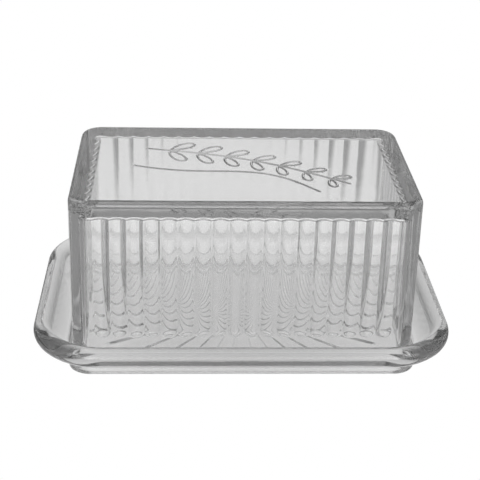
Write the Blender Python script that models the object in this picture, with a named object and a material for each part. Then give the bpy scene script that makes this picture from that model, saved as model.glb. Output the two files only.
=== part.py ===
"""Pressed-glass butter dish: a footed tray and a ribbed box cover that lifts straight off.

Metres, +Z up. The origin is under the middle of the tray, on the surface that it stands on.
+X runs along the long side and +Y towards the back.
"""

import math

import bmesh
import bpy
from mathutils import Matrix, Vector

# Tray: the whole plan
TRAY_LENGTH = 0.180
TRAY_WIDTH = 0.1228
TRAY_CORNER = 0.031

# Tray: rolled rim, a round bead in section, and the sloping wall of the well inside it
RIM_TOP = 0.0196
BEAD_RADIUS = 0.0044
BEAD_INNER_RADIUS = 0.0030
BEAD_LEAN = math.radians(8.0)  # of the bead's inner side, from the vertical
NECK_HEIGHT = 0.0148  # where the bead's inner side meets the well's wall
WELL_INSET = 0.01362  # from the rim's edge to the foot of the well's wall

# Tray: floor of the well
FLOOR_TOP = 0.0090
FLOOR_THICKNESS = 0.0056
FLOOR_FILLET = 0.0024

# Tray: foot ring, with the hollow inside it
FOOT_INSET = 0.0152
FOOT_HEIGHT = 0.0046
FOOT_RING = 0.0042  # width of the ring
FOOT_CORNER = 0.0092
FOOT_CORNER_TIGHTENING = 0.5  # how fast the corner radius falls towards the inside of the ring
FOOT_EDGE = 0.0009
FOOT_LEAN = 0.0001  # how far the foot's outer side leans out
HOLLOW_LEAN = 0.0012

# Tray: sunburst pressed up into the underside of the floor
RAY_COUNT = 32
RAY_START = 0.0065
RAY_MARGIN = 0.0030  # plain strip between the rays and the foot ring
RAY_SHARE = 0.42  # of the angle between two rays
RAY_DEPTH_SHARE = 0.24  # depth of a ray's groove, as a share of its width
RAY_SQUARENESS = 4  # how closely the ends of the rays follow the rectangle of the foot

# Cover: how it stands in the well
SIDE_GAP = 0.0022  # from the flat of the well's floor to the cover's sides
CORNER_CLEARANCE = 0.00005
SEAT_CLEARANCE = 0.0003

# Cover: outer block
COVER_HEIGHT = 0.0701
COVER_DRAFT = 0.0005  # how far each side leans in, bottom to top
COVER_TOP_EDGE = 0.0028
COVER_FOOT_EDGE = 0.0009

# Cover: hollow
WALL = 0.0059
TOP_THICKNESS = 0.0088
INNER_CORNER = 0.0022
CEILING_FILLET = 0.0012
SHOULDER = 0.0035
SHOULDER_DIP = 0.0009
SHOULDER_SCALLOP = 0.4
RIB_PITCH = 0.0070
RIB_DEPTH = 0.0013
RIB_MARGIN = 0.0039  # from the hollow's side to the first rib of the next side
PLAIN_BAND = 0.0059  # plain strip between the lower edge and the ribs
RIB_TIP = 0.0034  # length of a rib's rounded lower end

# Cover: raised sprig on the top, sized to the smaller of two shares of the top
SPRIG_OF_LENGTH = 0.64
SPRIG_OF_WIDTH = 1.056
SPRIG_TURN = math.radians(-24.0)
SPRIG_SHIFT = (0.001, -0.004)
SPRIG_ARCH = 0.07  # this and the shares below are of the sprig's length
LEAF_LENGTH = 0.133
LEAF_WIDTH = 0.055
LEAF_PAIRS = 7
LEAF_SPREAD = 0.80  # part of the stem that carries leaves
LEAF_TAPER = 0.45  # how much smaller the last pair is than the first
LEAF_POINT = 0.25  # how much a leaf narrows towards its end
LEAF_LEAN = math.radians(48.0)
LEAF_GAP = 0.0013
FLOURISH_DROP = 0.175
FLOURISH_LENGTH = 0.87
FLOURISH_START = 0.55  # part of the flourish left of the middle
FLOURISH_TURN = 0.8  # as a share of the sprig's turn
FLOURISH_BOW = 0.085
FLOURISH_WAVE = 0.043
STROKE_RADIUS = 0.00052
STROKE_RISE = 0.00042

# Resolution
CORNER_STEPS = 8
INNER_CORNER_STEPS = 4
BEAD_STEPS = 6  # in each of the three arcs of the rim
FILLET_STEPS = 3
TOP_EDGE_STEPS = 4
FOOT_EDGE_STEPS = 2
RIB_STEPS = 4
RIB_TIP_PARTS = (0.0, 0.2, 0.5, 1.0)
CEILING_PARTS = (0.0, 0.45, 0.75, 0.94, 1.0)
SHOULDER_PARTS = (0.3, 0.6, 1.0)
STEM_STEPS = 28
LEAF_STEPS = 12
FLOURISH_STEPS = 24
STROKE_SIDES = 2  # bevel resolution of a raised stroke
SMOOTH_ANGLE = math.radians(35.0)

WELD = 1e-6
CORNER_LEAST = 0.0002
RIM_CENTRE_Z = RIM_TOP - BEAD_RADIUS
HOLLOW_TOP = FLOOR_TOP - FLOOR_THICKNESS
FOOT_INNER = FOOT_INSET + FOOT_RING
COVER_SEAT = FLOOR_TOP + SEAT_CLEARANCE
CEILING = COVER_HEIGHT - TOP_THICKNESS


def clear_scene():
    for obj in list(bpy.data.objects):
        bpy.data.objects.remove(obj, do_unlink=True)


def new_collection(name):
    collection = bpy.data.collections.new(name)
    bpy.context.scene.collection.children.link(collection)
    return collection


def glass_material(name, colour, roughness):
    material = bpy.data.materials.new(name)
    material.use_nodes = True
    shader = material.node_tree.nodes["Principled BSDF"]
    shader.inputs["Base Color"].default_value = (*colour, 1.0)
    shader.inputs["Roughness"].default_value = roughness
    shader.inputs["Metallic"].default_value = 0.0
    shader.inputs["IOR"].default_value = 1.5
    shader.inputs["Transmission Weight"].default_value = 1.0
    return material


def add_object(name, bm, collection):
    """A new object from a bmesh, which is freed."""
    mesh = bpy.data.meshes.new(name)
    bmesh.ops.recalc_face_normals(bm, faces=bm.faces)
    bm.to_mesh(mesh)
    bm.free()
    obj = bpy.data.objects.new(name, mesh)
    collection.objects.link(obj)
    return obj


def hide_as_cutter(obj):
    obj.hide_render = True
    obj.display_type = "WIRE"
    return obj


def boolean(obj, cutter, operation):
    modifier = obj.modifiers.new(f"{operation.title()} {cutter.name}", "BOOLEAN")
    modifier.operation = operation
    modifier.object = cutter
    modifier.solver = "EXACT"


def shade(obj):
    obj.data.shade_smooth()
    obj.data.set_sharp_from_angle(angle=SMOOTH_ANGLE)


def rounded_ring(half_x, half_y, radius, z):
    """A rounded rectangle at height z, anticlockwise from the +X side."""
    points = []
    for quarter, (sx, sy) in enumerate(((1, 1), (-1, 1), (-1, -1), (1, -1))):
        for step in range(CORNER_STEPS + 1):
            angle = math.pi / 2 * (quarter + step / CORNER_STEPS)
            x = sx * (half_x - radius) + radius * math.cos(angle)
            y = sy * (half_y - radius) + radius * math.sin(angle)
            points.append((x, y, z))
    return points


def loft(rings):
    """A closed bmesh through rings of equal length, with a flat face on each end."""
    bm = bmesh.new()
    rows = [[bm.verts.new(point) for point in ring] for ring in rings]
    for low, high in zip(rows, rows[1:]):
        for i in range(len(low)):
            j = (i + 1) % len(low)
            bm.faces.new((low[i], low[j], high[j], high[i]))
    bm.faces.new(rows[0])
    bm.faces.new(rows[-1])
    return bm


def arc(centre, radius, start, end, steps):
    """Points (inset, z) along an arc of a section, the angle measured from +inset."""
    angles = [start + (end - start) * i / steps for i in range(steps + 1)]
    return [(centre[0] + radius * math.cos(a), centre[1] + radius * math.sin(a)) for a in angles]


def lower_tangent(point, centre, radius):
    """The angle on a circle where a line from a point under its inner side touches it from below."""
    dx, dz = centre[0] - point[0], centre[1] - point[1]
    return math.atan2(dz, dx) + math.asin(radius / math.hypot(dx, dz)) + math.pi / 2


def rim_section():
    """The foot's top, the sloping underside, the bead and the neck below it, as (inset, z)."""
    foot_top = (FOOT_INSET - FOOT_LEAN, FOOT_HEIGHT)
    bead = (BEAD_RADIUS, RIM_CENTRE_Z)
    section = [foot_top]
    turns = (lower_tangent(foot_top, bead, BEAD_RADIUS), math.pi, math.pi / 2)
    for start, end in zip(turns, turns[1:]):
        section += arc(bead, BEAD_RADIUS, start, end, BEAD_STEPS)[:-1]
    crest = (BEAD_RADIUS, RIM_TOP - BEAD_INNER_RADIUS)
    section += arc(crest, BEAD_INNER_RADIUS, math.pi / 2, BEAD_LEAN, BEAD_STEPS)
    inset, z = section[-1]
    return section + [(inset + (z - NECK_HEIGHT) * math.tan(BEAD_LEAN), NECK_HEIGHT)]


def well_section():
    """The fillet from the sloping wall to the flat floor of the well, as (inset, z)."""
    neck, neck_z = rim_section()[-1]
    lean = math.atan2(WELL_INSET - neck, neck_z - FLOOR_TOP)
    reach = FLOOR_FILLET * math.tan((math.pi / 2 - lean) / 2)
    centre = (WELL_INSET + reach, FLOOR_TOP + FLOOR_FILLET)
    return arc(centre, FLOOR_FILLET, math.pi + lean, 1.5 * math.pi, FILLET_STEPS)


def foot_section():
    """The hollow's side and the foot ring, as (inset, z)."""
    edge = (FOOT_INSET + FOOT_EDGE, FOOT_EDGE)
    section = [(FOOT_INNER + HOLLOW_LEAN, HOLLOW_TOP), (FOOT_INNER, 0.0)]
    return section + arc(edge, FOOT_EDGE, -math.pi / 2, -math.pi, FILLET_STEPS)


def tray_rings():
    """Rings of the tray: the foot has tighter corners than the rim and the well above it."""
    half_x, half_y = TRAY_LENGTH / 2, TRAY_WIDTH / 2
    rings = []
    for inset, z in foot_section() + rim_section()[:1]:
        radius = FOOT_CORNER - (inset - FOOT_INSET) * FOOT_CORNER_TIGHTENING
        rings.append(rounded_ring(half_x - inset, half_y - inset, radius, z))
    for inset, z in rim_section()[1:] + well_section():
        rings.append(rounded_ring(half_x - inset, half_y - inset, TRAY_CORNER - inset, z))
    return rings


def ray_reach(angle):
    """How far a ray runs from the middle before it nears the foot ring."""
    margin = FOOT_INNER + HOLLOW_LEAN + RAY_MARGIN
    across = math.cos(angle) / (TRAY_LENGTH / 2 - margin)
    along = math.sin(angle) / (TRAY_WIDTH / 2 - margin)
    return (across**RAY_SQUARENESS + along**RAY_SQUARENESS) ** (-1 / RAY_SQUARENESS)


def sunburst_cutter(collection):
    """Tapering three-sided wedges, one edge of each pointing up into the glass."""
    bm = bmesh.new()
    skirt = HOLLOW_TOP / 2
    for index in range(RAY_COUNT):
        angle = 2 * math.pi * (index + 0.5) / RAY_COUNT
        ends = []
        for distance in (RAY_START, ray_reach(angle)):
            half_width = distance * math.tan(math.pi / RAY_COUNT * RAY_SHARE)
            depth = 2 * half_width * RAY_DEPTH_SHARE
            flank = half_width * (1 + skirt / depth)
            low, high = HOLLOW_TOP - skirt, HOLLOW_TOP + depth
            corners = ((distance, -flank, low), (distance, flank, low), (distance, 0.0, high))
            ends.append([bm.verts.new(corner) for corner in corners])
        near, far = ends
        bm.faces.new(near)
        bm.faces.new(far)
        for i in range(3):
            j = (i + 1) % 3
            bm.faces.new((near[i], near[j], far[j], far[i]))
        bmesh.ops.transform(bm, matrix=Matrix.Rotation(angle, 4, "Z"), verts=near + far)
    return hide_as_cutter(add_object("sunburst_cutter", bm, collection))


def make_tray(parts, cutters):
    tray = add_object("tray", loft(tray_rings()), parts)
    boolean(tray, sunburst_cutter(cutters), "DIFFERENCE")
    tray.data.materials.append(glass_material("tray_glass", (0.93, 0.94, 0.94), 0.04))
    shade(tray)


FLOOR_INSET = well_section()[-1][0]
COVER_LENGTH = TRAY_LENGTH - 2 * (FLOOR_INSET + SIDE_GAP)
COVER_WIDTH = TRAY_WIDTH - 2 * (FLOOR_INSET + SIDE_GAP)
# The tightest round corner that still clears the round corner of the well's floor
COVER_CORNER = (
    TRAY_CORNER - FLOOR_INSET
    - (2 + math.sqrt(2)) * SIDE_GAP
    + (1 + math.sqrt(2)) * CORNER_CLEARANCE
)
INNER_LENGTH = COVER_LENGTH - 2 * WALL
INNER_WIDTH = COVER_WIDTH - 2 * WALL
SPRIG_LENGTH = min(SPRIG_OF_LENGTH * COVER_LENGTH, SPRIG_OF_WIDTH * COVER_WIDTH)


def half_at(z, length_or_width):
    """Half of a length or width of the cover, drawn in by the draft at height z."""
    return length_or_width / 2 - COVER_DRAFT * z / COVER_HEIGHT


def rounded_edges(bm, edges, radius, steps):
    bmesh.ops.bevel(
        bm, geom=edges, offset=radius, offset_type="OFFSET",
        segments=steps, profile=0.5, affect="EDGES",
    )


def outer_block(collection):
    """The drafted outer block of the cover, with round corner posts and rounded edges."""
    bm = bmesh.new()
    bmesh.ops.create_cube(bm, size=1.0)
    for vert in bm.verts:
        z = COVER_HEIGHT if vert.co.z > 0 else 0.0
        vert.co.x = math.copysign(half_at(z, COVER_LENGTH), vert.co.x)
        vert.co.y = math.copysign(half_at(z, COVER_WIDTH), vert.co.y)
        vert.co.z = z
    posts = [e for e in bm.edges if abs(e.verts[0].co.z - e.verts[1].co.z) > COVER_HEIGHT / 2]
    rounded_edges(bm, posts, COVER_CORNER, CORNER_STEPS)
    top = [e for e in bm.edges if all(v.co.z > COVER_HEIGHT - WELD for v in e.verts)]
    rounded_edges(bm, top, COVER_TOP_EDGE, TOP_EDGE_STEPS)
    foot = [e for e in bm.edges if all(v.co.z < WELD for v in e.verts)]
    rounded_edges(bm, foot, COVER_FOOT_EDGE, FOOT_EDGE_STEPS)
    return add_object("cover", bm, collection)


def rib_offset(across, z):
    """How far a rib stands in from the wall; across runs from -1 to 1 over one rib."""
    tip = min(0.0, (z - PLAIN_BAND - RIB_TIP) / RIB_TIP)
    return RIB_DEPTH * max(0.0, 1.0 - across**2 - tip**2)


def ceiling_offset(z):
    """How far the ceiling's fillet stands in from the wall."""
    rise = max(0.0, z - (CEILING - CEILING_FILLET))
    return CEILING_FILLET - math.sqrt(max(0.0, CEILING_FILLET**2 - rise**2))


def hollow_ring(half_x, half_y, z, shoulder=0.0):
    """One ring of the hollow: ribbed straight sides between four plain round corners.

    Across the shoulder, from 0 to 1, the ribs fade and the ceiling climbs to its full height.
    """
    inset = ceiling_offset(z)
    dip = SHOULDER_DIP * inset / CEILING_FILLET * (1 - shoulder) ** 2
    inset += (SHOULDER - CEILING_FILLET) * shoulder
    radius = max(INNER_CORNER - inset, CORNER_LEAST)
    corners = [Vector(signs) for signs in ((1, 1), (-1, 1), (-1, -1), (1, -1))]
    centre_at = Vector((half_x, half_y)) - Vector((1, 1)) * (inset + radius)
    ribs_at = Vector((half_x, half_y)) - Vector((1, 1)) * RIB_MARGIN
    points = []
    for quarter, corner in enumerate(corners):
        for step in range(INNER_CORNER_STEPS + 1):
            angle = math.pi / 2 * (quarter + step / INNER_CORNER_STEPS)
            out = Vector((math.cos(angle), math.sin(angle)))
            points.append((corner * centre_at + out * radius, z - dip))
        start, end = corner * ribs_at, corners[(quarter + 1) % 4] * ribs_at
        side = (INNER_WIDTH if quarter % 2 else INNER_LENGTH) - 2 * RIB_MARGIN
        steps = round(side / RIB_PITCH) * RIB_STEPS
        for step in range(steps + 1):
            across = 2 * ((step / RIB_STEPS) % 1) - 1
            depth = RIB_MARGIN - inset - rib_offset(across, z) * (1 - shoulder)
            scallop = SHOULDER_SCALLOP * (1 - across**2)
            points.append((start.lerp(end, step / steps) + out * depth, z - dip * (1 - scallop)))
    return [(p.x, p.y, height) for p, height in points]


def hollow_core(collection):
    """The shape of the hollow, as the plunger that presses it: plain at the mouth, then ribbed."""
    rings = [hollow_ring(INNER_LENGTH / 2 + COVER_FOOT_EDGE, INNER_WIDTH / 2 + COVER_FOOT_EDGE, z)
             for z in (-COVER_FOOT_EDGE, 0.0)]
    heights = [COVER_FOOT_EDGE]
    heights += [PLAIN_BAND + RIB_TIP * part for part in RIB_TIP_PARTS]
    heights += [CEILING - CEILING_FILLET * (1 - part) for part in CEILING_PARTS]
    rings += [hollow_ring(half_at(z, INNER_LENGTH), half_at(z, INNER_WIDTH), z) for z in heights]
    ceiling = half_at(CEILING, INNER_LENGTH), half_at(CEILING, INNER_WIDTH), CEILING
    rings += [hollow_ring(*ceiling, part) for part in SHOULDER_PARTS]
    return hide_as_cutter(add_object("hollow_core", loft(rings), collection))


def sprig_point(along):
    """A point of the sprig's arched stem, along from -0.5 to 0.5."""
    point = Vector((along, SPRIG_ARCH * math.cos(math.pi * along))) * SPRIG_LENGTH
    return Matrix.Rotation(SPRIG_TURN, 2) @ point + Vector(SPRIG_SHIFT)


def leaf_outline(along, side):
    """An egg-shaped leaf beside the stem, as a closed loop of points."""
    stem = sprig_point(along)
    ahead = (sprig_point(along + 1 / STEM_STEPS) - stem).normalized()
    direction = Matrix.Rotation(side * LEAF_LEAN, 2) @ ahead
    across = Vector((-direction.y, direction.x))
    size = SPRIG_LENGTH * (1.0 - LEAF_TAPER * (along + 0.5))
    root = stem + direction * (LEAF_GAP + STROKE_RADIUS)
    points = []
    for step in range(LEAF_STEPS):
        turn = 2 * math.pi * step / LEAF_STEPS
        reach = LEAF_LENGTH / 2 * (1 - math.cos(turn))
        bulge = LEAF_WIDTH / 2 * math.sin(turn) * (1 - LEAF_POINT * math.cos(turn))
        points.append(root + (direction * reach + across * bulge) * size)
    return points


def flourish_point(part):
    """A point of the long flourish below the sprig, part from 0 to 1."""
    bow = FLOURISH_BOW * math.sin(math.pi * part) - FLOURISH_WAVE * math.sin(2 * math.pi * part)
    point = Vector((FLOURISH_LENGTH * (part - FLOURISH_START), bow - FLOURISH_DROP)) * SPRIG_LENGTH
    return Matrix.Rotation(SPRIG_TURN * FLOURISH_TURN, 2) @ point + Vector(SPRIG_SHIFT)


def strokes():
    """Every raised stroke on the top, as (points, closed)."""
    yield [sprig_point(i / STEM_STEPS - 0.5) for i in range(STEM_STEPS + 1)], False
    for pair in range(LEAF_PAIRS):
        along = LEAF_SPREAD * (pair / (LEAF_PAIRS - 1) - 0.5)
        for side in (1, -1):
            yield leaf_outline(along, side), True
    yield [flourish_point(i / FLOURISH_STEPS) for i in range(FLOURISH_STEPS + 1)], False


def stroke_mesh(points, closed):
    """A round stroke through points on the top, as a closed mesh."""
    curve = bpy.data.curves.new("stroke", "CURVE")
    curve.dimensions = "3D"
    curve.bevel_depth = STROKE_RADIUS
    curve.bevel_resolution = STROKE_SIDES
    curve.use_fill_caps = True
    spline = curve.splines.new("POLY")
    spline.points.add(len(points) - 1)
    spline.use_cyclic_u = closed
    for knot, point in zip(spline.points, points):
        knot.co = (point.x, point.y, COVER_HEIGHT + STROKE_RISE - STROKE_RADIUS, 1.0)
    guide = bpy.data.objects.new("stroke", curve)
    bpy.context.scene.collection.objects.link(guide)
    bpy.context.view_layer.update()
    mesh = bpy.data.meshes.new_from_object(guide.evaluated_get(bpy.context.evaluated_depsgraph_get()))
    bpy.data.objects.remove(guide)
    return mesh


def raised_sprig(collection):
    bm = bmesh.new()
    for points, closed in strokes():
        mesh = stroke_mesh(points, closed)
        bm.from_mesh(mesh)
        bpy.data.meshes.remove(mesh)
    bmesh.ops.remove_doubles(bm, verts=bm.verts, dist=WELD)
    return hide_as_cutter(add_object("raised_sprig", bm, collection))


def make_cover(parts, cutters):
    cover, core, sprig = outer_block(parts), hollow_core(cutters), raised_sprig(cutters)
    for obj in (cover, core, sprig):
        obj.location.z = COVER_SEAT
    boolean(cover, core, "DIFFERENCE")
    boolean(cover, sprig, "UNION")
    cover.data.materials.append(glass_material("cover_glass", (0.94, 0.95, 0.95), 0.03))
    shade(cover)


def main():
    clear_scene()
    parts = new_collection("butter_dish")
    cutters = new_collection("cutters")
    make_tray(parts, cutters)
    make_cover(parts, cutters)


main()
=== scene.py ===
"""Clear pressed-glass butter dish: a footed tray and a ribbed cover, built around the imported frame."""

import math

import bmesh
import bpy
import numpy as np
from bpy.props import (
    FloatProperty,
    FloatVectorProperty,
    IntProperty,
    PointerProperty,
)
from mathutils import Matrix, Vector
from mathutils.geometry import delaunay_2d_cdt


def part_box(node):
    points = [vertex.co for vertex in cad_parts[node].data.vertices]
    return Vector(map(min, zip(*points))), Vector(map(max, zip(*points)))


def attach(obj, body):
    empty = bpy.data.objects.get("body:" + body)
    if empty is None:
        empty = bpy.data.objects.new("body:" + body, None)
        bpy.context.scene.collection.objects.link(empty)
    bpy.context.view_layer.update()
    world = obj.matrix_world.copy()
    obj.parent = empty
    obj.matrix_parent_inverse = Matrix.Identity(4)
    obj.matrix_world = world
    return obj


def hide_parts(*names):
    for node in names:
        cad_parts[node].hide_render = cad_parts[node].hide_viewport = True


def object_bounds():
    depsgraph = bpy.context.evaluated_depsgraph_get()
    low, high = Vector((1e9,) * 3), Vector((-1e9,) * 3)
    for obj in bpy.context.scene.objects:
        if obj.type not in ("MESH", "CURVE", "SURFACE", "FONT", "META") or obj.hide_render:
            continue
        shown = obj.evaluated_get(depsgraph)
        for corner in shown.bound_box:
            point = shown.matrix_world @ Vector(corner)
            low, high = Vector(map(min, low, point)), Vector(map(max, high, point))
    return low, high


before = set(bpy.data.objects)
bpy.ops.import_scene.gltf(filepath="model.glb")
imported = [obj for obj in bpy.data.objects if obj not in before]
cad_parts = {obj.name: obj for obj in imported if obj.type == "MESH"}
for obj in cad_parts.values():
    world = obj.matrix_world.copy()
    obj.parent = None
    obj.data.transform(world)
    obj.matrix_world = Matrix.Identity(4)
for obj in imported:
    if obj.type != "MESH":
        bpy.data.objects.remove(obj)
CAD_LOW, CAD_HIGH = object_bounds()
TRAY_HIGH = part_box("tray")[1]
COVER_LOW, COVER_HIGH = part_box("cover")

bl_info = {
    "name": "Pressed Glass Butter Dish",
    "version": (1, 0, 0),
    "blender": (4, 5, 0),
    "location": "3D View > Sidebar > Butter Dish",
    "description": "Builds a clear glass butter dish, its tray and ribbed cover, in a pale studio",
    "category": "Add Mesh",
}

MM = 0.001
QUARTER_TURN = math.pi / 2
CORNER_SIGNS = ((1, 1), (-1, 1), (-1, -1), (1, -1))
TINY = 1e-6

# How finely the tray is divided: round its plan, and along its section.
TRAY_CORNER_STEPS, TRAY_LONG_STEPS, TRAY_SHORT_STEPS = 32, 24, 16
WELL_STEPS, BEAD_STEPS, FOOT_STEPS = 12, 36, 8

# How finely the cover is divided: round its plan, and by rings from its top edge to its ceiling.
COVER_CORNER_STEPS, RIB_STEPS = 12, 14
TOP_EDGE_RINGS, SIDE_RINGS, FOOT_EDGE_RINGS = 15, 9, 9
RIB_TIP_RINGS, RIB_RINGS, FILLET_RINGS, SHOULDER_RINGS = 22, 9, 11, 8

# How the flat faces are filled with points: the pitch of the plain ones, the least gap between
# two, how far they keep from the edge, the rounding of the area's corners, and the distance in
# millimetres at which two are one.
PLAIN_PITCH = 5 * MM
TOP_PITCH = 4 * MM
POINT_GAP = 0.08 * MM
PLAIN_MARGIN, TOP_MARGIN, RAY_MARGIN = 2 * MM, 1 * MM, 0.3 * MM
FILL_CORNER, CEILING_CORNER = 5 * MM, 1 * MM
WELD = 1e-5
TRIANGLES_INSIDE = 1

# Small sizes of the tray's section.
FLAT_RUN = 3 * MM
FOOT_FILLET = 0.8 * MM
RING_INNER_EDGE = 0.5 * MM

# A ray of the sunburst: places across it, spacing along it, the softening of its inner end, how
# many times longer its outer end runs out, and the softening of its flanks.
RAY_MARKS = (-1.25, -1.08, -0.95, -0.8, -0.5, -0.25, -0.1, 0.0, 0.1, 0.25, 0.5, 0.8, 0.95, 1.08, 1.25)
RAY_PITCH = 1.4 * MM
RAY_END = 0.9 * MM
RAY_END_STEPS = 8
RAY_RUNOUT = 14.0
RAY_SOFTNESS = 0.14

# Small sizes of the cover.
EDGE_RUN = 0.4 * MM
RIB_LEAD = 0.6 * MM
RIB_TIP_SOFTNESS = 0.05
LEAST_CORNER = 0.2 * MM
SHOULDER_SCALLOP = 0.4

# The sprig: steps along each kind of line, the flourish's curve, and places across a raised line.
STEM_STEPS, LEAF_STEPS, FLOURISH_STEPS, END_STEPS = 280, 96, 240, 24
STEM_LOOK_AHEAD = 0.01
FLOURISH_START, FLOURISH_TURN = 0.55, 0.8
FLOURISH_BOW, FLOURISH_CURL = 0.085, 0.043
STROKE_MARKS = (-1.3, -1.0, -0.8, -0.6, -0.4, -0.2, 0.0, 0.2, 0.4, 0.6, 0.8, 1.0, 1.3)
STROKE_SHAPE = 1.5

# The glass's handling marks and the scuffed faces that it stands on.
HANDLING_EDGE = (0.52, 0.75)
HANDLING_ROUGHNESS = 0.03
SCUFF_ROUGHNESS = 0.25
TRAY_SCUFF_HEIGHT, COVER_SCUFF_HEIGHT = 1.2 * MM, 0.4 * MM

# Where the parts of the studio start and are full, by how far a direction of length 1 points up,
# or for the wall's and the window's sides by how far its level part points to the back.
CEILING_EDGE = (0.76, 0.88)
WALL_SIDE, WALL_BASE = (0.35, 0.6), (0.15, 0.27)
WINDOW_SIDE, WINDOW_SILL, WINDOW_HEAD = (-0.6, -0.4), (0.05, 0.25), (0.45, 0.75)
SILL_LIGHT, HEAD_LIGHT = 0.3, 0.35
OVER_ONE = 1.0001

FLOOR_SEGMENTS = 96
FLOOR_GAP = 0.2 * MM
SENSOR_WIDTH = 36.0
CLIP_START, CLIP_END = 0.01, 100.0


def length(name, description, millimetres):
    """A length setting, given in millimetres and held in metres."""
    return FloatProperty(
        name=name, description=description, default=millimetres * MM,
        min=0.0, precision=5, unit="LENGTH",
    )


def angle(name, description, degrees):
    return FloatProperty(
        name=name, description=description, default=math.radians(degrees), unit="ROTATION"
    )


def share(name, description, default, top=1.0):
    return FloatProperty(
        name=name, description=description, default=default, min=0.0, max=top, subtype="FACTOR"
    )


def amount(name, description, default):
    return FloatProperty(name=name, description=description, default=default, min=0.0)


def count(name, description, default):
    return IntProperty(name=name, description=description, default=default, min=1)


# ---------------------------------------------------------------- settings


class TraySettings(bpy.types.PropertyGroup):
    corner: length("Corner", "Corner radius of the rim, seen from above", 31.0)
    bead: length("Rim bead", "Radius of the rolled rim's section", 4.4)
    bead_inner: length("Bead inner", "Radius of the rolled rim's inner side", 3.0)
    bead_lean: angle("Bead lean", "Lean of the bead's inner side from the vertical", 8.0)
    neck: length("Neck height", "Where the bead's inner side meets the well's wall", 14.8)
    neck_fillet: length("Neck fillet", "Radius where the bead meets the well's wall", 0.8)
    well_inset: length("Well inset", "From the rim's edge to the foot of the well's wall", 13.62)
    floor_top: length("Floor height", "Height of the well's floor", 9.0)
    floor_thickness: length("Floor thickness", "Glass between the well and the hollow", 5.6)
    floor_fillet: length("Floor fillet", "Radius where the well's wall meets its floor", 2.4)
    foot_inset: length("Foot inset", "How far the foot stands in from the rim's edge", 15.2)
    foot_height: length("Foot height", "Height of the foot's upright side", 4.6)
    foot_ring: length("Foot ring", "Width of the ring that the tray stands on", 4.2)
    foot_corner: length("Foot corner", "Corner radius of the foot, seen from above", 9.2)
    foot_edge: length("Foot edge", "Radius of the foot's lower outer edge", 0.9)
    hollow_lean: length("Hollow lean", "How far the hollow's side leans in", 1.2)
    rays: count("Rays", "Rays of the sunburst under the floor", 32)
    ray_start: length("Ray start", "Where a ray starts, from the middle", 6.5)
    ray_margin: length("Ray margin", "Plain strip between the rays and the foot ring", 3.0)
    ray_width: share("Ray width", "A ray's width as a share of the space it has", 0.42)
    ray_depth: share("Ray depth", "A ray's depth as a share of its width", 0.12)


class CoverSettings(bpy.types.PropertyGroup):
    corner: length("Corner", "Corner radius of the cover, seen from above", 9.0)
    draft: length("Draft", "How far each side leans in from bottom to top", 0.5)
    top_edge: length("Top edge", "Radius of the upper edge", 2.8)
    foot_edge: length("Foot edge", "Radius of the lower edge", 0.9)
    wall: length("Wall", "Thickness of the sides at their thinnest", 5.9)
    top_thickness: length("Top thickness", "Thickness of the top", 8.8)
    inner_corner: length("Inner corner", "Corner radius of the hollow", 2.2)
    ceiling_fillet: length("Ceiling fillet", "Radius where the sides meet the ceiling", 1.2)
    shoulder: length("Shoulder", "Width of the scalloped shoulder round the ceiling", 3.5)
    shoulder_dip: length("Shoulder dip", "How far the shoulder dips at the sides", 0.9)
    long_ribs: count("Long ribs", "Ribs inside each long side", 18)
    short_ribs: count("Short ribs", "Ribs inside each short side", 10)
    rib_margin: length("Rib margin", "From a side of the hollow to the first rib of the next", 3.9)
    rib_depth: length("Rib depth", "How far a rib stands in from the wall", 1.3)
    rib_valley: share("Rib valley", "Rounding of the valleys, as a share of half a rib", 0.06)
    plain_band: length("Plain band", "Plain strip between the lower edge and the ribs", 5.9)
    rib_tip: length("Rib tip", "Length of a rib's rounded lower end", 3.4)


class SprigSettings(bpy.types.PropertyGroup):
    size: length("Length", "Length of the sprig's stem", 93.7)
    turn: angle("Turn", "Turn of the sprig on the top", -24.0)
    shift: FloatVectorProperty(
        name="Shift", description="Middle of the sprig on the top", size=2,
        default=(1.0 * MM, -4.0 * MM), unit="LENGTH", precision=5,
    )
    arch: share("Arch", "Rise of the stem's arch, as a share of its length", 0.07)
    leaf_length: share("Leaf length", "Length of the first leaves, as a share of the stem", 0.133)
    leaf_width: share("Leaf width", "Width of the first leaves, as a share of the stem", 0.055)
    leaf_pairs: count("Leaf pairs", "Pairs of leaves", 7)
    leaf_spread: share("Leaf spread", "Part of the stem that carries leaves", 0.80)
    leaf_taper: share("Leaf taper", "How much smaller the last pair is", 0.45)
    leaf_point: share("Leaf point", "How much a leaf narrows towards its end", 0.25)
    leaf_lean: angle("Leaf lean", "Angle between leaf and stem", 48.0)
    leaf_gap: length("Leaf gap", "From the stem to the start of a leaf", 1.82)
    flourish_length: share("Flourish length", "As a share of the stem", 0.87)
    flourish_drop: share("Flourish drop", "Distance below the stem, as a share of it", 0.175)
    stroke_half: length("Stroke half width", "Half the width of a raised line", 0.62)
    stroke_rise: length("Stroke rise", "Height of a raised line", 0.42)


class GlassSettings(bpy.types.PropertyGroup):
    ior: amount("Refraction index", "Index of refraction of soda-lime glass", 1.50)
    roughness: share("Roughness", "Roughness of the fire-polished surface", 0.055)
    tint: FloatVectorProperty(
        name="Tint", description="Colour of the glass's surface", size=3,
        default=(0.988, 0.988, 0.988), min=0.0, max=1.0, subtype="COLOR",
    )
    body_colour: FloatVectorProperty(
        name="Body colour", description="What thick glass filters towards", size=3,
        default=(0.45, 0.45, 0.45), min=0.0, max=1.0, subtype="COLOR",
    )
    density: amount("Body density", "How strongly thick glass darkens, per metre", 16.0)
    ripple_size: length("Ripple size", "Spacing of the pressed surface's soft ripples", 10.0)
    ripple_depth: length("Ripple depth", "Depth of the soft ripples", 0.04)


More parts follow.
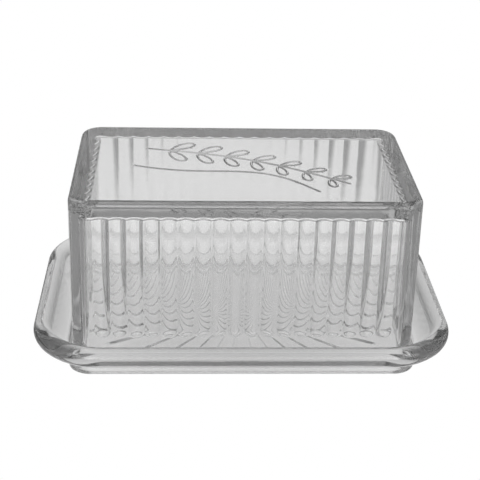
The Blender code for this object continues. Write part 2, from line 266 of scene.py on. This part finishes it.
class StageSettings(bpy.types.PropertyGroup):
    camera_place: FloatVectorProperty(
        name="Camera place", description="Where the camera stands", size=3,
        default=(-25.474 * MM, -473.269 * MM, 271.847 * MM), unit="LENGTH", precision=5,
    )
    camera_yaw: angle("Camera yaw", "Turn of the camera to the right", 3.032)
    camera_pitch: angle("Camera pitch", "How far the camera looks down", 25.899)
    camera_roll: angle("Camera roll", "Roll of the camera", 1.572)
    lens: FloatProperty(
        name="Lens", description="Focal length of the camera", default=88.076,
        min=1.0, unit="CAMERA",
    )
    floor_radius: length("Floor radius", "Radius of the pale floor", 3000.0)
    # The floor glows. In open view it is plain white (floor_white). Every other ray sees a painted glow
    # on it: painted shade under the dish, painted light round it, and dimmer painted light at its sides
    # and far away, shaped by the distances below.
    floor_white: amount("Floor white", "Brightness of the floor in open view", 1.0)
    floor_under_painted_shade: amount("Floor under", "Light from the floor under the dish", 0.59)
    floor_near: amount("Floor near", "Light from the floor round the dish", 0.95)
    floor_far: share("Floor far", "Light from the far floor, as a share of the near", 0.45)
    floor_side: share("Floor side", "Light from the sides of the floor, as a share", 0.32)
    near_start: length("Near start", "From the middle to where the floor starts to brighten", 30.0)
    near_end: length("Near end", "From the middle to where the floor is brightest", 160.0)
    far_start: length("Far start", "From the middle to where the floor starts to darken", 320.0)
    far_end: length("Far end", "From the middle to where the floor is as dark as its far part", 500.0)
    side_start: length("Side start", "From the middle to where the sides start to darken", 72.0)
    side_end: length("Side end", "From the middle to where the sides are at their darkest", 116.0)
    overhead: amount("Overhead", "Brightness of the ceiling", 1.1)
    wall: amount("Wall", "Brightness of the wall behind the dish", 0.52)
    wall_foot: amount("Wall foot", "Brightness of the foot of that wall", 0.30)
    window: amount("Window", "Brightness of the soft window behind the camera", 3.2)
    dark_side: amount("Dark side", "Brightness of the dark sides of the room", 0.04)


class DishSettings(bpy.types.PropertyGroup):
    tray: PointerProperty(type=TraySettings)
    cover: PointerProperty(type=CoverSettings)
    sprig: PointerProperty(type=SprigSettings)
    glass: PointerProperty(type=GlassSettings)
    stage: PointerProperty(type=StageSettings)


# ---------------------------------------------------------------- sections and rings


def arc(centre, radius, start, end, steps):
    """Points (inset, z) along an arc of a section, the angle measured from +inset."""
    turns = np.linspace(start, end, steps + 1)
    return [(centre[0] + radius * math.cos(t), centre[1] + radius * math.sin(t)) for t in turns]


def rounded_section(knots, steps):
    """A section through knots (inset, z, corner, radius), each turned with its own radius."""
    points = [knots[0][:3]]
    for before, knot, after in zip(knots, knots[1:], knots[2:]):
        here = Vector(knot[:2])
        back, ahead = Vector(before[:2]) - here, Vector(after[:2]) - here
        if knot[3] <= 0:
            points.append(knot[:3])
            continue
        half = back.angle(ahead) / 2
        reach = knot[3] / math.tan(half)
        bisector = (back.normalized() + ahead.normalized()).normalized()
        middle = here + bisector * knot[3] / math.sin(half)
        first, last = here + back.normalized() * reach, here + ahead.normalized() * reach
        spokes = first - middle, last - middle
        sweep = math.pi - 2 * half
        for step in range(steps + 1):
            part = step / steps
            weights = [math.sin(turn) / math.sin(sweep) for turn in ((1 - part) * sweep, part * sweep)]
            place = middle + spokes[0] * weights[0] + spokes[1] * weights[1]
            side = before if part < 0.5 else after
            away = abs(1 - 2 * part) * reach / (back if part < 0.5 else ahead).length
            points.append((place.x, place.y, knot[2] + (side[2] - knot[2]) * away))
    points.append(knots[-1][:3])
    return points


def rib_marks(ribs, margin):
    """Marks along a ribbed side: (share of the way, place across the rib), closest near the valleys."""
    marks = [(margin, 1.0)]
    for index in range(1, ribs * RIB_STEPS):
        rib, step = divmod(index, RIB_STEPS)
        across = math.sin(QUARTER_TURN * (2 * step / RIB_STEPS - 1))
        marks.append((margin + (1 - 2 * margin) * (rib + (across + 1) / 2) / ribs, across))
    return marks + [(1 - margin, 1.0)]


def even_marks(steps):
    """Marks along a plain side."""
    return [(step / steps, 1.0) for step in range(1, steps)]


class Plan:
    """How the points of a rounded rectangle are spread round it, the same for every ring of a piece."""

    def __init__(self, corner_steps, long_marks, short_marks):
        rows = []
        for quarter, here in enumerate(CORNER_SIGNS):
            there = CORNER_SIGNS[(quarter + 1) % 4]
            for step in range(corner_steps + 1):
                turn = QUARTER_TURN * (quarter + step / corner_steps)
                out = (math.cos(turn), math.sin(turn))
                rows.append((*here, *there, 0.0, *out, 1.0))
            for part, across in short_marks if quarter % 2 else long_marks:
                rows.append((*here, *there, part, *out, across))
        rows = np.array(rows)
        self.here, self.there = rows[:, 0:2], rows[:, 2:4]
        self.part, self.out, self.across = rows[:, 4:5], rows[:, 5:7], rows[:, 7]

    def ring(self, half_x, half_y, radius, z, inward=0.0):
        """The ring's points, each drawn inwards by its own amount."""
        reach = np.array((half_x - radius, half_y - radius))
        base = self.here * reach * (1 - self.part) + self.there * reach * self.part
        flat = base + self.out * (radius - np.broadcast_to(inward, len(base)))[:, None]
        return np.column_stack((flat, np.broadcast_to(z, len(flat))))


def add_rings(bm, rings):
    """Quads between rings of equal length; returns the vertices of each ring."""
    rows = [[bm.verts.new(point) for point in ring] for ring in rings]
    for low, high in zip(rows, rows[1:]):
        for i in range(len(low)):
            j = (i + 1) % len(low)
            bm.faces.new((low[i], low[j], high[j], high[i]))
    return rows


def add_cap(bm, edge, inner, height):
    """Fills the ring of vertices edge with triangles through the inner points, z from height(x, y)."""
    flat = [Vector((v.co.x, v.co.y)) / MM for v in edge]
    flat += [Vector(point) / MM for point in inner]
    outline = [range(len(edge))]
    places, _, faces, origins, _, _ = delaunay_2d_cdt(flat, [], outline, TRIANGLES_INSIDE, WELD)
    verts = []
    for place, origin in zip(places, origins):
        known = [i for i in origin if i < len(edge)]
        if known:
            verts.append(edge[known[0]])
        else:
            x, y = place * MM
            verts.append(bm.verts.new((x, y, height(x, y))))
    for face in faces:
        corners = [verts[i] for i in face]
        if len(set(corners)) == 3:
            bm.faces.new(corners)


def inside(points, half_x, half_y, radius):
    """The points that lie inside a rounded rectangle."""
    over = np.maximum(np.abs(points) - (half_x - radius, half_y - radius), 0.0)
    return points[np.hypot(*over.T) < radius]


def field(half_x, half_y, pitch):
    """A staggered field of points over a rectangle."""
    rows = []
    for row, y in enumerate(np.arange(-half_y, half_y, pitch * math.sqrt(0.75))):
        x = np.arange(-half_x, half_x, pitch) + (row % 2) * pitch / 2
        rows.append(np.column_stack((x, np.full(len(x), y))))
    return np.vstack(rows)


def thin_out(points, gap):
    """Drops points closer than gap to one kept before, by cells of that size."""
    seen, kept = set(), []
    for x, y in points:
        cell = (round(x / gap), round(y / gap))
        if any((cell[0] + i, cell[1] + j) in seen for i in (-1, 0, 1) for j in (-1, 0, 1)):
            continue
        seen.add(cell)
        kept.append((x, y))
    return np.array(kept)


def close_ring(bm, edge, pitch, margin, corner=FILL_CORNER, detail=None, relief=None):
    """Closes the ring of vertices edge with a flat face, or with detail points raised by relief(x, y)."""
    half_x, half_y = max(v.co.x for v in edge), max(v.co.y for v in edge)
    level = edge[0].co.z
    points = field(half_x, half_y, pitch)
    if detail is not None:
        points = thin_out(np.vstack((detail, points)), POINT_GAP)
    inner = inside(points, half_x - margin, half_y - margin, corner)
    add_cap(bm, edge, inner, lambda x, y: level + (relief(x, y) if relief else 0.0))


def finish_piece(name, bm, node, material):
    """Closes the mesh, shades it smooth and puts it in place of its CAD node."""
    bmesh.ops.recalc_face_normals(bm, faces=bm.faces)
    mesh = bpy.data.meshes.new(name)
    bm.to_mesh(mesh)
    bm.free()
    mesh.shade_smooth()
    piece = bpy.data.objects.new(name, mesh)
    bpy.context.scene.collection.objects.link(piece)
    piece.modifiers.new("Even shading", "WEIGHTED_NORMAL")
    mesh.materials.append(material)
    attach(piece, node)
    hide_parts(node)


# ---------------------------------------------------------------- tray


def tray_section(s):
    """The tray's section (inset, z, corner radius) from the well's floor over the rim to the hollow."""
    top = TRAY_HIGH.z
    bead = (s.bead, top - s.bead)
    crest = (s.bead, top - s.bead_inner)
    bead_arcs = arc(crest, s.bead_inner, s.bead_lean, QUARTER_TURN, WELL_STEPS)[:-1]
    bead_foot = bead_arcs[0]
    wall_top = (bead_foot[0] + (bead_foot[1] - s.neck) * math.tan(s.bead_lean), s.neck)
    foot_top = (s.foot_inset, s.foot_height)
    run = Vector(bead) - Vector(foot_top)
    touch = math.atan2(run.y, run.x) + math.asin(s.bead / run.length) + QUARTER_TURN
    bead_arcs += arc(bead, s.bead, QUARTER_TURN, touch, BEAD_STEPS)
    foot_inner = s.foot_inset + s.foot_ring
    hollow = s.floor_top - s.floor_thickness

    def rim(inset):
        return s.corner - inset

    def foot(inset):
        return s.foot_corner - (inset - s.foot_inset) / 2

    well = s.well_inset + s.floor_fillet + FLAT_RUN
    knots = [
        (well, s.floor_top, rim(well), 0),
        (s.well_inset, s.floor_top, rim(s.well_inset), s.floor_fillet),
        (*wall_top, rim(wall_top[0]), s.neck_fillet),
        (*bead_foot, rim(bead_foot[0]), 0),
    ]
    section = rounded_section(knots, WELL_STEPS)[:-1]
    section += [(inset, z, rim(inset)) for inset, z in bead_arcs]
    knots = [
        (*section[-1], 0),
        (*foot_top, foot(foot_top[0]), FOOT_FILLET),
        (s.foot_inset, 0.0, foot(s.foot_inset), s.foot_edge),
        (foot_inner, 0.0, foot(foot_inner), RING_INNER_EDGE),
        (foot_inner + s.hollow_lean, hollow, foot(foot_inner), FOOT_FILLET),
        (foot_inner + s.hollow_lean + FLAT_RUN, hollow, foot(foot_inner + FLAT_RUN), 0),
    ]
    return section + rounded_section(knots, FOOT_STEPS)[1:]


def ray_reach(s, turn):
    """How far a ray runs from the middle before it nears the foot ring."""
    margin = s.foot_inset + s.foot_ring + s.hollow_lean + s.ray_margin
    across = math.cos(turn) / (TRAY_HIGH.x - margin)
    along = math.sin(turn) / (TRAY_HIGH.y - margin)
    return (across**4 + along**4) ** -0.25


def ray_points(s):
    """Points that follow every ray of the sunburst."""
    points = [(0.0, 0.0)]
    for index in range(s.rays):
        turn = 2 * math.pi * (index + 0.5) / s.rays
        reach = ray_reach(s, turn)
        half = math.tan(math.pi / s.rays * s.ray_width)
        stops = list(np.arange(s.ray_start - RAY_END, reach - RAY_END, RAY_PITCH))
        stops += list(np.linspace(reach - RAY_END, reach + RAY_END, RAY_END_STEPS))
        for distance in stops:
            for mark in RAY_MARKS:
                side = distance * half * mark
                points.append((
                    distance * math.cos(turn) - side * math.sin(turn),
                    distance * math.sin(turn) + side * math.cos(turn),
                ))
    return np.array(points)


def ray_height(s):
    """How far the sunburst is pressed up into the floor at a point, as a function."""
    spacing = 2 * math.pi / s.rays
    half = math.tan(spacing / 2 * s.ray_width)

    def height(x, y):
        distance, turn = math.hypot(x, y), math.atan2(y, x)
        middle = (math.floor(turn / spacing) + 0.5) * spacing
        along = distance * math.cos(turn - middle)
        across = abs(distance * math.sin(turn - middle)) / max(along * half, TINY)
        flank = 1 - math.sqrt(across**2 + RAY_SOFTNESS**2) + RAY_SOFTNESS / 2
        flank = (flank + math.sqrt(flank**2 + RAY_SOFTNESS**2)) / 2 - RAY_SOFTNESS / 2
        near, far = (along - s.ray_start) / RAY_END, (ray_reach(s, middle) - along) / RAY_END
        fade = min(max(near / 2 + 0.5, 0.0), max(far / RAY_RUNOUT + 0.5, 0.0), 1.0)
        depth = 2 * along * half * s.ray_depth
        return max(0.0, depth * flank) * fade * fade * (3 - 2 * fade)

    return height


class BUTTERDISH_OT_tray(bpy.types.Operator):
    """Build the tray: rolled rim, well, foot ring and the sunburst under its floor"""

    bl_idname = "butterdish.tray"
    bl_label = "Glass tray"

    def execute(self, context):
        s = context.scene.butter_dish.tray
        plan = Plan(TRAY_CORNER_STEPS, even_marks(TRAY_LONG_STEPS), even_marks(TRAY_SHORT_STEPS))
        rings = [
            plan.ring(TRAY_HIGH.x - inset, TRAY_HIGH.y - inset, corner, z)
            for inset, z, corner in tray_section(s)
        ]
        bm = bmesh.new()
        rows = add_rings(bm, rings)
        close_ring(bm, rows[0], PLAIN_PITCH, PLAIN_MARGIN)
        close_ring(bm, rows[-1], PLAIN_PITCH, RAY_MARGIN, detail=ray_points(s), relief=ray_height(s))
        material = glass_material(context.scene.butter_dish.glass, "tray_glass", TRAY_SCUFF_HEIGHT)
        finish_piece("glass_tray", bm, "tray", material)
        return {"FINISHED"}


# ---------------------------------------------------------------- cover


def half_at(s, z, half):
    """Half of a length or width of the cover, drawn in by the draft, z above its lower edge."""
    return half - s.draft * z / cover_height()


def cover_height():
    """The cover's height without the raised sprig."""
    return COVER_HIGH.z - COVER_LOW.z - bpy.context.scene.butter_dish.sprig.stroke_rise


def rib_inward(s, across, z):
    """How far the ribbed wall stands in, round one ring z above the lower edge."""
    soft = s.rib_valley
    near = 1 - np.abs(across)
    near = (np.sqrt(near**2 + soft**2) - soft) / (math.sqrt(1 + soft**2) - soft)
    tip = min(0.0, (z - s.plain_band - s.rib_tip) / s.rib_tip)
    bulge = near * (2 - near) - tip**2
    bulge = (bulge + np.sqrt(bulge**2 + RIB_TIP_SOFTNESS**2) - RIB_TIP_SOFTNESS) / 2
    return s.rib_depth * np.maximum(bulge, 0.0)


def cover_rings(s, plan):
    """Rings of the cover from the top's edge over the outside and up the hollow to the ceiling."""
    height = cover_height()
    outer = np.array((COVER_HIGH.x, COVER_HIGH.y))
    edge, foot, wall, fillet = s.top_edge, s.foot_edge, s.wall, s.ceiling_fillet
    ceiling = height - s.top_thickness
    rib_end = s.plain_band + s.rib_tip
    rings = []

    def ring(inset, z, inward=0.0, corner=None, dip=0.0):
        half_x, half_y = (half_at(s, z, half) - inset for half in outer)
        radius = s.corner - inset if corner is None else corner
        rings.append(plan.ring(half_x, half_y, radius, z + COVER_LOW.z - dip, inward))

    def cove(inset, z, ribs, dip):
        ring(wall + inset, z, ribs, max(s.inner_corner - inset, LEAST_CORNER), dip)

    ring(edge + EDGE_RUN, height)
    for turn in np.linspace(QUARTER_TURN, 0, TOP_EDGE_RINGS):
        ring(edge * (1 - math.cos(turn)), height - edge * (1 - math.sin(turn)))
    for z in np.linspace(height - edge, foot, SIDE_RINGS)[1:-1]:
        ring(0.0, z)
    for turn in np.linspace(0, QUARTER_TURN, FOOT_EDGE_RINGS):
        ring(foot * (1 - math.cos(turn)), foot * (1 - math.sin(turn)))
    for turn in np.linspace(QUARTER_TURN, 0, FOOT_EDGE_RINGS):
        inset = wall - foot * (1 - math.cos(turn))
        ring(inset, foot * (1 - math.sin(turn)), corner=s.inner_corner + wall - inset)
    heights = list(np.linspace(s.plain_band - RIB_LEAD, rib_end, RIB_TIP_RINGS))
    heights += list(np.linspace(rib_end, ceiling - fillet, RIB_RINGS)[1:])
    for z in heights:
        ring(wall, z, rib_inward(s, plan.across, z), s.inner_corner)
    dip = s.shoulder_dip * (1 - SHOULDER_SCALLOP * (1 - plan.across**2))
    for turn in np.linspace(0, QUARTER_TURN, FILLET_RINGS)[1:]:
        z = ceiling - fillet * (1 - math.sin(turn))
        inset = fillet * (1 - math.cos(turn))
        cove(inset, z, rib_inward(s, plan.across, z), dip * (1 - math.cos(turn)))
    ribs = rib_inward(s, plan.across, ceiling)
    for part in np.linspace(0, 1, SHOULDER_RINGS)[1:]:
        inset = fillet + (s.shoulder - fillet) * part
        cove(inset, ceiling, ribs * (1 - part), dip * (1 - part) ** 2)
    cove(s.shoulder + EDGE_RUN, ceiling, 0.0, 0.0)
    return rings


def sprig_curves(s):
    """The centre lines of the raised lines on the top, each as an array of points."""
    shift = np.array(s.shift)

    def turned(points, turn):
        cos, sin = math.cos(turn), math.sin(turn)
        return points @ np.array(((cos, sin), (-sin, cos)))

    def stem(along):
        along = np.atleast_1d(along)
        points = np.column_stack((along, s.arch * np.cos(math.pi * along))) * s.size
        return turned(points, s.turn) + shift

    curves = [stem(np.linspace(-0.5, 0.5, STEM_STEPS))]
    for along in np.linspace(-0.5, 0.5, s.leaf_pairs) * s.leaf_spread:
        root, ahead = stem(along)[0], stem(along + STEM_LOOK_AHEAD)[0]
        ahead = (ahead - root) / np.linalg.norm(ahead - root)
        for side in (1, -1):
            direction = turned(ahead, side * s.leaf_lean)
            across = np.array((-direction[1], direction[0]))
            turn = np.linspace(0, 2 * math.pi, LEAF_STEPS)[:, None]
            reach = s.leaf_length / 2 * (1 - np.cos(turn))
            bulge = s.leaf_width / 2 * np.sin(turn) * (1 - s.leaf_point * np.cos(turn))
            size = s.size * (1 - s.leaf_taper * (along + 0.5))
            start = root + direction * s.leaf_gap
            curves.append(start + (direction * reach + across * bulge) * size)
    part = np.linspace(0, 1, FLOURISH_STEPS)
    rise = FLOURISH_BOW * np.sin(math.pi * part) - FLOURISH_CURL * np.sin(2 * math.pi * part)
    along = s.flourish_length * (part - FLOURISH_START)
    points = np.column_stack((along, rise - s.flourish_drop)) * s.size
    curves.append(turned(points, s.turn * FLOURISH_TURN) + shift)
    return curves


def stroke_points(curves, half):
    """Points along and across every raised line, and round its ends."""
    turns = np.linspace(0, 2 * math.pi, END_STEPS, endpoint=False)
    circle = np.column_stack((np.cos(turns), np.sin(turns)))
    points = []
    for curve in curves:
        ahead = np.gradient(curve, axis=0)
        ahead /= np.linalg.norm(ahead, axis=1)[:, None]
        across = np.column_stack((-ahead[:, 1], ahead[:, 0]))
        for mark in STROKE_MARKS:
            points.append(curve + across * half * mark)
        if np.linalg.norm(curve[0] - curve[-1]) > half:
            for end in (curve[0], curve[-1]):
                points += [end + half * mark * circle for mark in STROKE_MARKS if mark > 0]
    return np.vstack(points)


def stroke_height(curves, half, rise):
    """The height of the raised lines at a point, as a function that looks them up by square cells."""
    cells = {}
    for x, y in np.vstack(curves):
        cells.setdefault((round(x / MM), round(y / MM)), []).append((x, y))

    def height(x, y):
        column, row = round(x / MM), round(y / MM)
        near = []
        for i in (column - 1, column, column + 1):
            for j in (row - 1, row, row + 1):
                near += cells.get((i, j), ())
        if not near:
            return 0.0
        distance = math.sqrt(min((px - x) ** 2 + (py - y) ** 2 for px, py in near)) / half
        return rise * max(0.0, 1 - distance**2) ** STROKE_SHAPE

    return height


class BUTTERDISH_OT_cover(bpy.types.Operator):
    """Build the cover: rounded block, ribbed hollow and the raised sprig on its top"""

    bl_idname = "butterdish.cover"
    bl_label = "Glass cover"

    def execute(self, context):
        settings = context.scene.butter_dish
        s, sprig = settings.cover, settings.sprig
        margin = s.rib_margin - s.inner_corner
        long_run, short_run = (2 * (half - s.wall - s.inner_corner) for half in COVER_HIGH[:2])
        long_marks = rib_marks(s.long_ribs, margin / long_run)
        short_marks = rib_marks(s.short_ribs, margin / short_run)
        bm = bmesh.new()
        rows = add_rings(bm, cover_rings(s, Plan(COVER_CORNER_STEPS, long_marks, short_marks)))
        curves = sprig_curves(sprig)
        strokes = stroke_points(curves, sprig.stroke_half)
        raised = stroke_height(curves, sprig.stroke_half, sprig.stroke_rise)
        close_ring(bm, rows[0], TOP_PITCH, TOP_MARGIN, detail=strokes, relief=raised)
        close_ring(bm, rows[-1], PLAIN_PITCH, PLAIN_MARGIN, CEILING_CORNER)
        material = glass_material(settings.glass, "cover_glass", COVER_LOW.z + COVER_SCUFF_HEIGHT)
        finish_piece("glass_cover", bm, "cover", material)
        return {"FINISHED"}


# ---------------------------------------------------------------- glass


def link(tree, source, target):
    tree.links.new(source, target)


def math_node(tree, operation, first, second=None):
    """One sum on sockets or plain numbers."""
    node = tree.nodes.new("ShaderNodeMath")
    node.operation = operation
    for socket, value in zip(node.inputs, (first, second)):
        if value is None:
            continue
        if isinstance(value, bpy.types.NodeSocket):
            link(tree, value, socket)
        else:
            socket.default_value = value
    return node.outputs[0]


def pressed_surface_group():
    """The soft ripples and faint handling marks of pressed, fire-polished glass."""
    name = "Pressed glass surface"
    if name in bpy.data.node_groups:
        return bpy.data.node_groups[name]
    group = bpy.data.node_groups.new(name, "ShaderNodeTree")
    defaults = {"Ripple Size": 10 * MM, "Ripple Depth": 0.04 * MM, "Polish": 0.0, "Scuff": 0.0}
    for label, default in defaults.items():
        socket = group.interface.new_socket(label, in_out="INPUT", socket_type="NodeSocketFloat")
        socket.default_value = default
    for label in ("Height", "Roughness"):
        group.interface.new_socket(label, in_out="OUTPUT", socket_type="NodeSocketFloat")
    entry, leave = group.nodes.new("NodeGroupInput"), group.nodes.new("NodeGroupOutput")
    place = group.nodes.new("ShaderNodeTexCoord").outputs["Object"]
    scale = math_node(group, "DIVIDE", 1.0, entry.outputs["Ripple Size"])

    def noise(size, detail, spread):
        node = group.nodes.new("ShaderNodeTexNoise")
        node.inputs["Detail"].default_value = detail
        node.inputs["Roughness"].default_value = spread
        link(group, place, node.inputs["Vector"])
        link(group, math_node(group, "MULTIPLY", scale, size), node.inputs["Scale"])
        return node.outputs["Fac"]

    ripples = math_node(group, "SUBTRACT", noise(size=1.0, detail=2.0, spread=0.4), 0.5)
    height = math_node(group, "MULTIPLY", ripples, entry.outputs["Ripple Depth"])
    link(group, height, leave.inputs["Height"])
    marks = group.nodes.new("ShaderNodeMapRange")
    for label, value in zip(("From Min", "From Max"), HANDLING_EDGE):
        marks.inputs[label].default_value = value
    link(group, noise(size=3.0, detail=6.0, spread=0.6), marks.inputs["Value"])
    handled = math_node(group, "MULTIPLY", marks.outputs["Result"], HANDLING_ROUGHNESS)
    rough = math_node(group, "ADD", entry.outputs["Polish"], handled)
    rough = math_node(group, "ADD", rough, entry.outputs["Scuff"])
    link(group, rough, leave.inputs["Roughness"])
    return group


def glass_material(s, name, scuffed_below):
    """Clear soda-lime glass with soft ripples, scuffed by use on the face that it stands on."""
    material = bpy.data.materials.new(name)
    material.use_nodes = True
    tree = material.node_tree
    shader = tree.nodes["Principled BSDF"]
    shader.inputs["Base Color"].default_value = (*s.tint, 1.0)
    shader.inputs["Metallic"].default_value = 0.0
    shader.inputs["IOR"].default_value = s.ior
    shader.inputs["Transmission Weight"].default_value = 1.0
    surface = tree.nodes.new("ShaderNodeGroup")
    surface.node_tree = pressed_surface_group()
    surface.inputs["Ripple Size"].default_value = s.ripple_size
    surface.inputs["Ripple Depth"].default_value = s.ripple_depth
    surface.inputs["Polish"].default_value = s.roughness
    place = tree.nodes.new("ShaderNodeTexCoord")
    split = tree.nodes.new("ShaderNodeSeparateXYZ")
    link(tree, place.outputs["Object"], split.inputs[0])
    low = math_node(tree, "LESS_THAN", split.outputs["Z"], scuffed_below)
    link(tree, math_node(tree, "MULTIPLY", low, SCUFF_ROUGHNESS), surface.inputs["Scuff"])
    link(tree, surface.outputs["Roughness"], shader.inputs["Roughness"])
    bump = tree.nodes.new("ShaderNodeBump")
    bump.inputs["Strength"].default_value = 1.0
    bump.inputs["Distance"].default_value = 1.0
    link(tree, surface.outputs["Height"], bump.inputs["Height"])
    link(tree, bump.outputs["Normal"], shader.inputs["Normal"])
    body = tree.nodes.new("ShaderNodeVolumeAbsorption")
    body.inputs["Color"].default_value = (*s.body_colour, 1.0)
    body.inputs["Density"].default_value = s.density
    link(tree, body.outputs["Volume"], tree.nodes["Material Output"].inputs["Volume"])
    return material


# ---------------------------------------------------------------- stage


def smooth(tree, value, start, end, low, high):
    """A soft step from low to high as value goes from start to end."""
    node = tree.nodes.new("ShaderNodeMapRange")
    node.interpolation_type = "SMOOTHSTEP"
    link(tree, value, node.inputs["Value"])
    for label, number in (("From Min", start), ("From Max", end), ("To Min", low), ("To Max", high)):
        node.inputs[label].default_value = number
    return node.outputs["Result"]


def studio_world(s):
    """A dark room with a bright ceiling, a grey wall at the back and a soft window opposite it."""
    world = bpy.data.worlds.new("Soft studio")
    world.use_nodes = True
    tree = world.node_tree
    direction = tree.nodes.new("ShaderNodeTexCoord").outputs["Generated"]
    split = tree.nodes.new("ShaderNodeSeparateXYZ")
    link(tree, direction, split.inputs[0])
    _, y, z = split.outputs

    def times(first, second):
        return math_node(tree, "MULTIPLY", first, second)

    def plus(first, second):
        return math_node(tree, "ADD", first, second)

    level_part = math_node(tree, "SQRT", math_node(tree, "SUBTRACT", OVER_ONE, times(z, z)))
    ahead = math_node(tree, "DIVIDE", y, level_part)
    above = smooth(tree, z, *CEILING_EDGE, 0.0, 1.0)
    below = math_node(tree, "SUBTRACT", 1.0, above)
    wall = times(
        smooth(tree, ahead, *WALL_SIDE, 0.0, 1.0), smooth(tree, z, *WALL_BASE, s.wall_foot, s.wall)
    )
    window_height = times(
        smooth(tree, z, *WINDOW_SILL, SILL_LIGHT, 1.0), smooth(tree, z, *WINDOW_HEAD, 1.0, HEAD_LIGHT)
    )
    window = times(smooth(tree, ahead, *WINDOW_SIDE, s.window, 0.0), window_height)
    around = plus(plus(wall, window), s.dark_side)
    level = plus(times(above, s.overhead), times(below, around))
    background = tree.nodes["Background"]
    link(tree, level, background.inputs["Strength"])
    background.inputs["Color"].default_value = (1.0, 1.0, 1.0, 1.0)
    bpy.context.scene.world = world


def painted_glow_floor(s):
    """A floor that glows. Camera rays see it plain white; the glass sees a painted glow on it, with
    painted shade under the dish and painted light that dims towards its sides and far away.
    """
    bm = bmesh.new()
    bmesh.ops.create_circle(bm, cap_ends=True, segments=FLOOR_SEGMENTS, radius=s.floor_radius)
    bmesh.ops.translate(bm, verts=bm.verts, vec=(0.0, 0.0, CAD_LOW.z - FLOOR_GAP))
    mesh = bpy.data.meshes.new("painted_glow_floor")
    bm.to_mesh(mesh)
    bm.free()
    floor = bpy.data.objects.new("painted_glow_floor", mesh)
    bpy.context.scene.collection.objects.link(floor)
    material = bpy.data.materials.new("painted_glow_floor")
    material.use_nodes = True
    tree = material.node_tree
    tree.nodes.remove(tree.nodes["Principled BSDF"])
    glow = tree.nodes.new("ShaderNodeEmission")
    distance = tree.nodes.new("ShaderNodeVectorMath")
    distance.operation = "LENGTH"
    axes = tree.nodes.new("ShaderNodeSeparateXYZ")
    place = tree.nodes.new("ShaderNodeNewGeometry").outputs["Position"]
    link(tree, place, distance.inputs[0])
    link(tree, place, axes.inputs[0])
    away = distance.outputs["Value"]
    aside = math_node(tree, "ABSOLUTE", axes.outputs["X"])
    # Painted glow for the glass: painted shade under the dish rising to painted light round it, dimmed
    # far away and at the sides.
    near = smooth(tree, away, s.near_start, s.near_end, s.floor_under_painted_shade, s.floor_near)
    far = smooth(tree, away, s.far_start, s.far_end, 1.0, s.floor_far)
    side = smooth(tree, aside, s.side_start, s.side_end, 1.0, s.floor_side)
    painted_floor_glow = math_node(tree, "MULTIPLY", math_node(tree, "MULTIPLY", near, far), side)
    # Camera rays see the floor plain white; all other rays see only the painted glow.
    seen = tree.nodes.new("ShaderNodeLightPath").outputs["Is Camera Ray"]
    level = math_node(tree, "MAXIMUM", painted_floor_glow, math_node(tree, "MULTIPLY", seen, s.floor_white))
    link(tree, level, glow.inputs["Strength"])
    link(tree, glow.outputs["Emission"], tree.nodes["Material Output"].inputs["Surface"])
    mesh.materials.append(material)


def studio_camera(s):
    """The camera, in front of the dish and looking down on it."""
    data = bpy.data.cameras.new("studio_camera")
    data.lens = s.lens
    data.sensor_width = SENSOR_WIDTH
    data.clip_start, data.clip_end = CLIP_START, CLIP_END
    camera = bpy.data.objects.new("studio_camera", data)
    yaw = Matrix.Rotation(-s.camera_yaw, 4, "Z")
    pitch = Matrix.Rotation(QUARTER_TURN - s.camera_pitch, 4, "X")
    roll = Matrix.Rotation(s.camera_roll, 4, "Z")
    camera.matrix_world = Matrix.Translation(s.camera_place) @ (yaw @ pitch) @ roll
    bpy.context.scene.collection.objects.link(camera)
    bpy.context.scene.camera = camera


class BUTTERDISH_OT_stage(bpy.types.Operator):
    """Build the pale floor with its painted glow, the soft studio round it and the camera"""

    bl_idname = "butterdish.stage"
    bl_label = "Studio"

    def execute(self, context):
        s = context.scene.butter_dish.stage
        painted_glow_floor(s)
        studio_world(s)
        studio_camera(s)
        scene = context.scene
        scene.view_settings.view_transform = "Standard"
        cycles = scene.cycles
        cycles.max_bounces = 24
        cycles.transmission_bounces = 24
        cycles.glossy_bounces = 16
        cycles.diffuse_bounces = 3
        cycles.volume_bounces = 0
        return {"FINISHED"}


class BUTTERDISH_PT_panel(bpy.types.Panel):
    """Builds the butter dish piece by piece"""

    bl_label = "Butter Dish"
    bl_idname = "BUTTERDISH_PT_panel"
    bl_space_type = "VIEW_3D"
    bl_region_type = "UI"
    bl_category = "Butter Dish"

    def draw(self, context):
        settings = context.scene.butter_dish
        for part in ("tray", "cover", "sprig", "glass", "stage"):
            box = self.layout.box()
            group = getattr(settings, part)
            for name in group.bl_rna.properties.keys():
                if name not in ("rna_type", "name"):
                    box.prop(group, name)
            if part in ("tray", "cover", "stage"):
                box.operator(f"butterdish.{part}")


CLASSES = (
    TraySettings, CoverSettings, SprigSettings, GlassSettings, StageSettings, DishSettings,
    BUTTERDISH_OT_tray, BUTTERDISH_OT_cover, BUTTERDISH_OT_stage, BUTTERDISH_PT_panel,
)


def register():
    for cls in CLASSES:
        bpy.utils.register_class(cls)
    bpy.types.Scene.butter_dish = PointerProperty(type=DishSettings)


def unregister():
    del bpy.types.Scene.butter_dish
    for cls in reversed(CLASSES):
        bpy.utils.unregister_class(cls)


def main():
    register()
    bpy.ops.butterdish.stage()
    bpy.ops.butterdish.tray()
    bpy.ops.butterdish.cover()


if __name__ == "__main__":
    main()
